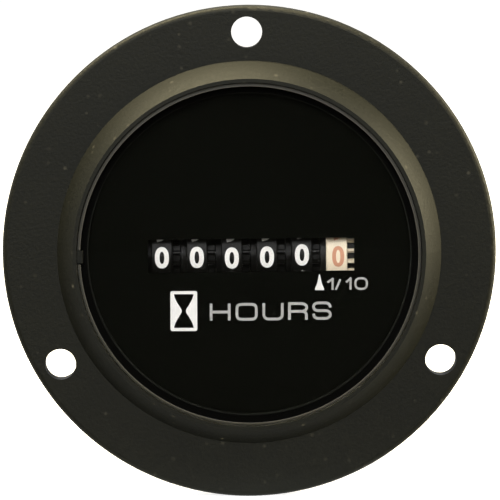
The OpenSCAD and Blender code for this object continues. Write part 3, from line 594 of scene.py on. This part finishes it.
def flat_print(name, quads, rise=INK_T):
    """One raised layer from overlapping patches: x and y across the print, z up out of it, in metres."""
    points = [corner for quad in quads for corner in quad]
    faces = [list(range(i, i + 4)) for i in range(0, len(points), 4)]
    filled = delaunay_2d_cdt([Vector(p) for p in points], [], faces, FILL_INSIDE, SAME, True)
    verts, _, cells, _, _, sources = filled
    inked = [cell for cell, source in zip(cells, sources) if source]
    form = bmesh.new()
    corners = [form.verts.new((v.x * MM, v.y * MM, -INK_BITE * MM)) for v in verts]
    for cell in inked:
        form.faces.new([corners[i] for i in cell])
    bmesh.ops.delete(form, geom=[v for v in form.verts if not v.link_faces], context="VERTS")
    raised = bmesh.ops.extrude_face_region(form, geom=form.faces[:])["geom"]
    for item in raised:
        if isinstance(item, bmesh.types.BMVert):
            item.co.z = rise * MM
    bmesh.ops.recalc_face_normals(form, faces=form.faces)
    mesh = bpy.data.meshes.new(name)
    form.to_mesh(mesh)
    form.free()
    made = bpy.data.objects.new(name, mesh)
    bpy.context.scene.collection.objects.link(made)
    return made


def tree_input(tree, name, kind, default=None):
    """Adds a named input to a geometry-nodes tree and returns its identifier."""
    socket = tree.interface.new_socket(name, in_out="INPUT", socket_type=kind)
    if default is not None:
        socket.default_value = default
    return socket.identifier


def build_drum_wrap():
    """Geometry nodes that bend a flat strip round a drum: y runs up round the drum, z stands out from it."""
    tree = bpy.data.node_groups.new("drum_wrap", "GeometryNodeTree")
    tree_input(tree, "Strip", "NodeSocketGeometry")
    keys = {
        "radius": tree_input(tree, "Drum radius", "NodeSocketFloat", 0.0),
        "face": tree_input(tree, "Face middle", "NodeSocketFloat", 0.0),
        "axis": tree_input(tree, "Drum axis", "NodeSocketVector", (0.0, 0.0, 0.0)),
        "turn": tree_input(tree, "Print turn", "NodeSocketFloat", 0.0),
        "ink": tree_input(tree, "Ink", "NodeSocketMaterial"),
    }
    tree.interface.new_socket("Print", in_out="OUTPUT", socket_type="NodeSocketGeometry")
    given = add(tree, "NodeGroupInput").outputs
    flat = add(tree, "ShaderNodeSeparateXYZ", {0: add(tree, "GeometryNodeInputPosition").outputs[0]}).outputs
    bend = work_out(tree, "DIVIDE", flat["Y"], given["Drum radius"])
    angle = work_out(tree, "ADD", bend, given["Print turn"])
    reach = work_out(tree, "ADD", flat["Z"], given["Drum radius"])
    forward = work_out(tree, "MULTIPLY", work_out(tree, "COSINE", angle), -1.0)
    up = work_out(tree, "SINE", angle)
    across = work_out(tree, "ADD", flat["X"], given["Face middle"])
    y = work_out(tree, "MULTIPLY", forward, reach)
    z = work_out(tree, "MULTIPLY", up, reach)
    round_drum = add(tree, "ShaderNodeCombineXYZ", {"X": across, "Y": y, "Z": z}).outputs[0]
    placed = work_out(tree, "ADD", round_drum, given["Drum axis"], kind="ShaderNodeVectorMath")
    bent = add(tree, "GeometryNodeSetPosition", {"Geometry": given["Strip"], "Position": placed}).outputs[0]
    whole = add(tree, "GeometryNodeRealizeInstances", {0: bent}).outputs[0]
    inked = add(tree, "GeometryNodeSetMaterial", {"Geometry": whole, "Material": given["Ink"]}).outputs[0]
    add(tree, "NodeGroupOutput", {0: inked})
    return tree, keys


def settle(made):
    """Turns a piece with a geometry-nodes modifier into a plain mesh."""
    graph = bpy.context.evaluated_depsgraph_get()
    mesh = bpy.data.meshes.new_from_object(made.evaluated_get(graph))
    made.modifiers.clear()
    made.data = mesh


# Numbers on the wheels: ten digits, each a tenth of a turn below the one before. Width, height, stroke in mm
BLACK_WHEEL_DIGIT = (2.05, 3.14, 0.68)
TENTHS_DIGIT = (1.75, 3.05, 0.56)
# How far each print is off, as on real wheels: degrees round the drum, and mm across it
PRINT_TURN = {
    "ten_thousands": 1.7, "thousands": 1.6, "hundreds": 0.2, "tens": 1.0, "units": 3.3, "tenths": 0.7,
}
PRINT_SHIFT = {"tens": 0.03, "units": 0.03, "tenths": 0.2}


def digit_strip(width, height, stroke):
    """The ten digits one above the other, 0 in the middle of the picture and 9 above it."""
    step = 2 * math.pi * DRUM_R / 10
    quads = []
    for n in range(10):
        quads += character_quads(str(n), -width / 2, -n * step - height / 2, width, height, stroke)
    return quads


def print_numbers():
    """Prints the ten digits round each wheel; they turn with it."""
    wrap, keys = build_drum_wrap()
    for name in WHEELS:
        last = name == "tenths"
        numbers = flat_print("numbers_" + name, digit_strip(*(TENTHS_DIGIT if last else BLACK_WHEEL_DIGIT)))
        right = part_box("wheel_" + name)[1].x
        bend = numbers.modifiers.new("wrap", "NODES")
        bend.node_group = wrap
        bend[keys["radius"]] = DRUM_R * MM
        bend[keys["face"]] = right - (RING_W + FACE_W / 2 - PRINT_SHIFT.get(name, 0.0)) * MM
        bend[keys["axis"]] = Vector((0.0, counter_axis.y, counter_axis.z))
        bend[keys["turn"]] = math.radians(PRINT_TURN[name])
        bend[keys["ink"]] = ink_red if last else ink_white
        settle(numbers)
        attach(numbers, "wheel_" + name)


# Words and signs on the dial, in mm from its middle: sign, left, base, width, height. The whole print stands
# a hair askew
DIAL_PRINT_TURN = math.radians(-0.45)
HOURS_STROKE = 0.39
HOURS = (("H", -5.8, -9.8, 3.03, 2.48), ("O", -2.04, -9.84, 3.22, 2.6), ("U", 1.88, -9.81, 3.08, 2.53),
         ("R", 5.62, -9.74, 2.91, 2.57), ("S", 9.13, -9.75, 2.83, 2.67))
TENTH_STROKE = 0.3
TENTH = (("i", 11.33, -5.36, 0.92, 1.73), ("/", 12.48, -5.38, 0.85, 1.58), ("i", 14.03, -5.36, 0.84, 1.78),
         ("o", 15.27, -5.4, 1.98, 1.86))
# Pointer: middle, foot and height, then half its width from the foot up to the tip
POINTER_X, POINTER_BASE, POINTER_H = 10.2, -5.4, 2.33
POINTER_HALVES = (0.68, 0.62, 0.47, 0.34, 0.26, 0.2, 0.13, 0.04)
# Hourglass: its frame's box, rim and corners, then half the glass's width at its waist and at its ends, and
# how round the waist is
GLASS_LEFT, GLASS_BASE, GLASS_W, GLASS_H = -11.53, -11.32, 3.91, 5.86
GLASS_RIM, GLASS_CORNER, CORNER_STEPS, GLASS_STEPS = 0.45, 0.3, 6, 14
WAIST_HALF, BULB_HALF, WAIST_ROUND = 0.3, 1.44, 0.09


def pointer_quads():
    """A slim arrowhead whose sides flare out to its foot."""
    last = len(POINTER_HALVES) - 1
    rows = [(POINTER_BASE + POINTER_H * i / last, half) for i, half in enumerate(POINTER_HALVES)]
    return [((POINTER_X - h0, y0), (POINTER_X + h0, y0), (POINTER_X + h1, y1), (POINTER_X - h1, y1))
            for (y0, h0), (y1, h1) in zip(rows, rows[1:])]


def rectangle(left, base, right, top):
    """One patch with upright sides."""
    return ((left, base), (right, base), (right, top), (left, top))


def hourglass_quads():
    """A framed hourglass: the frame and the spaces beside the glass are inked, the glass is bare."""
    left, base, rim, corner = GLASS_LEFT, GLASS_BASE, GLASS_RIM, GLASS_CORNER
    right, top = left + GLASS_W, base + GLASS_H
    quads = [rectangle(left + corner, base, right - corner, base + rim),
             rectangle(left + corner, top - rim, right - corner, top),
             rectangle(left, base + corner, left + rim, top - corner),
             rectangle(right - rim, base + corner, right, top - corner)]
    for x, y, start in ((right - corner, top - corner, 0), (left + corner, top - corner, 90),
                        (left + corner, base + corner, 180), (right - corner, base + corner, 270)):
        bend = arc(x, y, corner, corner, start, start + 90, CORNER_STEPS)
        quads += [((x, y), bend[i], bend[i + 1], bend[i + 2]) for i in range(0, CORNER_STEPS, 2)]
    middle, waist, reach = (left + right) / 2, (base + top) / 2, GLASS_H / 2 - rim / 2
    whole = math.hypot(1.0, WAIST_ROUND) - WAIST_ROUND
    rows = []
    for i in range(-GLASS_STEPS, GLASS_STEPS + 1):
        # 0 at the rounded waist and 1 at the ends, where the swelling levels out
        t = (math.hypot(i / GLASS_STEPS, WAIST_ROUND) - WAIST_ROUND) / whole
        swell = 1.5 * t - 0.5 * t ** 3
        rows.append((waist + reach * i / GLASS_STEPS, WAIST_HALF + (BULB_HALF - WAIST_HALF) * swell))
    for (y0, h0), (y1, h1) in zip(rows, rows[1:]):
        quads.append(((left + rim / 2, y0), (middle - h0, y0), (middle - h1, y1), (left + rim / 2, y1)))
        quads.append(((middle + h0, y0), (right - rim / 2, y0), (right - rim / 2, y1), (middle + h1, y1)))
    return quads


def lay_on_dial(made, material):
    """Stands a flat print up on the dial's front."""
    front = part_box("dial_plate")[0].y
    c, s = math.cos(DIAL_PRINT_TURN), math.sin(DIAL_PRINT_TURN)
    for v in made.data.vertices:
        x, y, z = v.co
        v.co = Vector((c * x - s * y, front - z, s * x + c * y))
    made.data.materials.append(material)
    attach(made, "meter")


def print_dial():
    """Prints the word, the tenth sign with its pointer, and the hourglass."""
    letters = [q for sign, *box in HOURS for q in character_quads(sign, *box, HOURS_STROKE)]
    lay_on_dial(flat_print("print_hours", letters), ink_grey)
    tenth = [q for sign, *box in TENTH for q in character_quads(sign, *box, TENTH_STROKE)]
    lay_on_dial(flat_print("print_tenth", tenth), ink_grey)
    lay_on_dial(flat_print("print_pointer", pointer_quads()), ink_white)
    lay_on_dial(flat_print("print_hourglass", hourglass_quads()), ink_white)


# Polarity signs on the barrel's back above the blades, and how far the blades' collars stand out, in mm
SIGN_Z, SIGN_LONG, SIGN_STROKE, SIGN_RISE = 7.6, 3.0, 0.7, 0.25
COLLAR_H = 1.0


def mould_signs():
    """Raises the polarity signs. The mould is polished there, so they catch the light on the matt back."""
    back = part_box("rear_case")[1].y - COLLAR_H * MM
    reach = (SIGN_LONG - SIGN_STROKE) / 2
    level, upright = [(-reach, 0.0), (reach, 0.0)], [(0.0, -reach), (0.0, reach)]
    for sign, paths in (("plus", (level, upright)), ("minus", (level,))):
        low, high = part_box("terminal_" + sign)
        quads = [q for path in paths for q in stroke_quads(path, SIGN_STROKE)]
        made = flat_print("sign_" + sign, quads, SIGN_RISE)
        for v in made.data.vertices:
            x, y, z = v.co
            v.co = Vector(((low.x + high.x) / 2 - x, back + z, SIGN_Z * MM + y))
        made.data.materials.append(black)
        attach(made, "meter")


# Coil wire: the real one is about 0.05 mm, drawn at 0.16 mm so that single turns show
WIRE_D = 0.16
LOOP_POINTS, WIRE_POINTS = 48, 8


def build_coil_wind():
    """Geometry nodes that lay turns of wire side by side along a coil that stands upright."""
    tree = bpy.data.node_groups.new("coil_wind", "GeometryNodeTree")
    tree_input(tree, "Foot", "NodeSocketGeometry")
    keys = {
        "turns": tree_input(tree, "Turns", "NodeSocketInt", 2),
        "pitch": tree_input(tree, "Wire pitch", "NodeSocketFloat", 0.0),
        "radius": tree_input(tree, "Coil radius", "NodeSocketFloat", 0.0),
        "wire": tree_input(tree, "Wire radius", "NodeSocketFloat", 0.0),
        "start": tree_input(tree, "First turn", "NodeSocketVector", (0.0, 0.0, 0.0)),
        "metal": tree_input(tree, "Metal", "NodeSocketMaterial"),
    }
    tree.interface.new_socket("Turns of wire", in_out="OUTPUT", socket_type="NodeSocketGeometry")
    given = add(tree, "NodeGroupInput").outputs
    step = add(tree, "ShaderNodeCombineXYZ", {"Z": given["Wire pitch"]}).outputs[0]
    line = add(tree, "GeometryNodeMeshLine", {
        "Count": given["Turns"], "Start Location": given["First turn"], "Offset": step,
    }).outputs[0]
    loop = add(tree, "GeometryNodeCurvePrimitiveCircle", {
        "Resolution": LOOP_POINTS, "Radius": given["Coil radius"],
    }).outputs[0]
    section = add(tree, "GeometryNodeCurvePrimitiveCircle", {
        "Resolution": WIRE_POINTS, "Radius": given["Wire radius"],
    }).outputs[0]
    turn = add(tree, "GeometryNodeCurveToMesh", {"Curve": loop, "Profile Curve": section}).outputs[0]
    laid = add(tree, "GeometryNodeInstanceOnPoints", {"Points": line, "Instance": turn}).outputs[0]
    whole = add(tree, "GeometryNodeRealizeInstances", {0: laid}).outputs[0]
    smooth = add(tree, "GeometryNodeSetShadeSmooth", {"Geometry": whole}).outputs[0]
    dressed = add(tree, "GeometryNodeSetMaterial", {
        "Geometry": smooth, "Material": given["Metal"],
    }).outputs[0]
    add(tree, "NodeGroupOutput", {0: dressed})
    return tree, keys


def wind_coil():
    """Lays turns of wire over the winding's solid, side by side."""
    low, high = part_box("coil_winding")
    tree, keys = build_coil_wind()
    turns = int((high.z - low.z) / (WIRE_D * MM))
    pitch = (high.z - low.z) / turns
    mesh = bpy.data.meshes.new("coil_turns")
    coil = bpy.data.objects.new("coil_turns", mesh)
    bpy.context.scene.collection.objects.link(coil)
    wind = coil.modifiers.new("wind", "NODES")
    wind.node_group = tree
    wind[keys["turns"]] = turns
    wind[keys["pitch"]] = pitch
    wind[keys["radius"]] = (high.x - low.x) / 2
    wind[keys["wire"]] = WIRE_D / 2 * MM
    wind[keys["start"]] = Vector(((low.x + high.x) / 2, (low.y + high.y) / 2, low.z + pitch / 2))
    wind[keys["metal"]] = enamel
    settle(coil)
    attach(coil, "meter")


# Solder on the board's back: foot, tip and height of a joint in mm, and how hollow its side is
SOLDER_FOOT, SOLDER_TIP, SOLDER_H = 0.55, 0.3, 0.4
SOLDER_HOLLOW, SOLDER_SIDES, SOLDER_ROWS = 1.1, 20, 5
# How far leads sit in from a part's ends, and how far apart they are under the cans, in mm
LEAD_IN = 0.25
CRYSTAL_LEAD_GAP, CAN_LEAD_GAP = 1.3, 2.0


def build_solder_run():
    """Geometry nodes that set a hollow-sided cone of solder on every point, standing out backwards."""
    tree = bpy.data.node_groups.new("solder_run", "GeometryNodeTree")
    tree_input(tree, "Lead places", "NodeSocketGeometry")
    keys = {
        "foot": tree_input(tree, "Foot radius", "NodeSocketFloat", 0.0),
        "tip": tree_input(tree, "Tip radius", "NodeSocketFloat", 0.0),
        "height": tree_input(tree, "Height", "NodeSocketFloat", 0.0),
        "metal": tree_input(tree, "Metal", "NodeSocketMaterial"),
    }
    tree.interface.new_socket("Joints", in_out="OUTPUT", socket_type="NodeSocketGeometry")
    given = add(tree, "NodeGroupInput").outputs
    cone = add(tree, "GeometryNodeMeshCone", {
        "Vertices": SOLDER_SIDES, "Side Segments": SOLDER_ROWS, "Depth": given["Height"],
        "Radius Top": given["Tip radius"], "Radius Bottom": given["Foot radius"],
    }).outputs["Mesh"]
    spot = add(tree, "GeometryNodeInputPosition").outputs[0]
    spot_z = add(tree, "ShaderNodeSeparateXYZ", {0: spot}).outputs["Z"]
    share = work_out(tree, "DIVIDE", spot_z, given["Height"])
    dip = work_out(tree, "MULTIPLY", share, outside(tree, share))
    pull = work_out(tree, "MULTIPLY_ADD", dip, -SOLDER_HOLLOW, 1.0)
    inward = add(tree, "ShaderNodeCombineXYZ", {"X": pull, "Y": pull, "Z": 1.0}).outputs[0]
    drawn = work_out(tree, "MULTIPLY", spot, inward, kind="ShaderNodeVectorMath")
    fillet = add(tree, "GeometryNodeSetPosition", {"Geometry": cone, "Position": drawn}).outputs[0]
    laid = add(tree, "GeometryNodeInstanceOnPoints", {
        "Points": given["Lead places"], "Instance": fillet, "Rotation": (-math.pi / 2, 0.0, 0.0),
    }).outputs[0]
    whole = add(tree, "GeometryNodeRealizeInstances", {0: laid}).outputs[0]
    dressed = add(tree, "GeometryNodeSetMaterial", {
        "Geometry": whole, "Material": given["Metal"],
    }).outputs[0]
    add(tree, "NodeGroupOutput", {0: dressed})
    return tree, keys


def lead_places():
    """Where leads pass through the board, as (x, z): at the ends of lying parts, in pairs under the cans."""
    places = []
    for name, axis in (("dropper_resistor", 0), ("protection_diode", 2), ("coil_pins", 2)):
        low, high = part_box(name)
        for end in (low[axis] + LEAD_IN * MM, high[axis] - LEAD_IN * MM):
            spot = (low + high) / 2
            spot[axis] = end
            places.append((spot.x, spot.z))
    low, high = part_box("quartz_crystal")
    crystal = (low.x + LEAD_IN * MM, (low.z + high.z) / 2, CRYSTAL_LEAD_GAP * MM)
    low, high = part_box("smoothing_capacitor")
    capacitor = ((low.x + high.x) / 2, (low.z + high.z) / 2, CAN_LEAD_GAP * MM)
    for x, z, gap in (crystal, capacitor):
        places += [(x, z - gap / 2), (x, z + gap / 2)]
    return places


def solder_leads():
    """Sets a joint round every lead at the board's back."""
    tree, keys = build_solder_run()
    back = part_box("circuit_board")[1].y
    mesh = bpy.data.meshes.new("solder_joints")
    mesh.from_pydata([(x, back, z) for x, z in lead_places()], [], [])
    joints = bpy.data.objects.new("solder_joints", mesh)
    bpy.context.scene.collection.objects.link(joints)
    run = joints.modifiers.new("run", "NODES")
    run.node_group = tree
    run[keys["foot"]] = SOLDER_FOOT * MM
    run[keys["tip"]] = SOLDER_TIP * MM
    run[keys["height"]] = SOLDER_H * MM
    run[keys["metal"]] = solder
    settle(joints)
    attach(joints, "meter")


# Section of the ground edge in mm: how far in from the lens's rim, how far behind its front. EDGE_KEY is
# half the angle that the lens's key takes up
EDGE_SECTION = ((0.0, 0.385), (0.0, 0.43), (0.43, 0.0), (0.385, -0.015))
EDGE_KEY = math.radians(2.4)
EDGE_STEPS = 180


def ground_lens_edge():
    """The lens's bevel, ground and left unpolished: a thin pale skin that stops at the lens's key; its
    paleness is partly a painted highlight along the bevel.
    """
    low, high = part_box("lens")
    front, radius = low.y, high.z
    form = bmesh.new()
    rows = []
    for i in range(EDGE_STEPS + 1):
        turn = math.pi + EDGE_KEY + (2 * math.pi - 2 * EDGE_KEY) * i / EDGE_STEPS
        row = []
        for inset, depth in EDGE_SECTION:
            r = radius - inset * MM
            row.append(form.verts.new((r * math.cos(turn), front + depth * MM, r * math.sin(turn))))
        rows.append(row)
    for a, b in zip(rows, rows[1:]):
        for j in range(len(a)):
            k = (j + 1) % len(a)
            form.faces.new((a[j], a[k], b[k], b[j]))
    form.faces.new(rows[0])
    form.faces.new(rows[-1])
    bmesh.ops.recalc_face_normals(form, faces=form.faces)
    mesh = bpy.data.meshes.new("lens_bevel_ground_and_highlight")
    form.to_mesh(mesh)
    form.free()
    mesh.materials.append(ground)
    made = bpy.data.objects.new("lens_bevel_ground_and_highlight", mesh)
    bpy.context.scene.collection.objects.link(made)
    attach(made, "meter")


set_camera()
set_world()
set_stage()
for lamp in LAMPS:
    set_lamp(*lamp)
bpy.context.scene.view_settings.view_transform = "Standard"

dress_nodes()
ground_lens_edge()
print_numbers()
print_dial()
mould_signs()
wind_coil()
solder_leads()
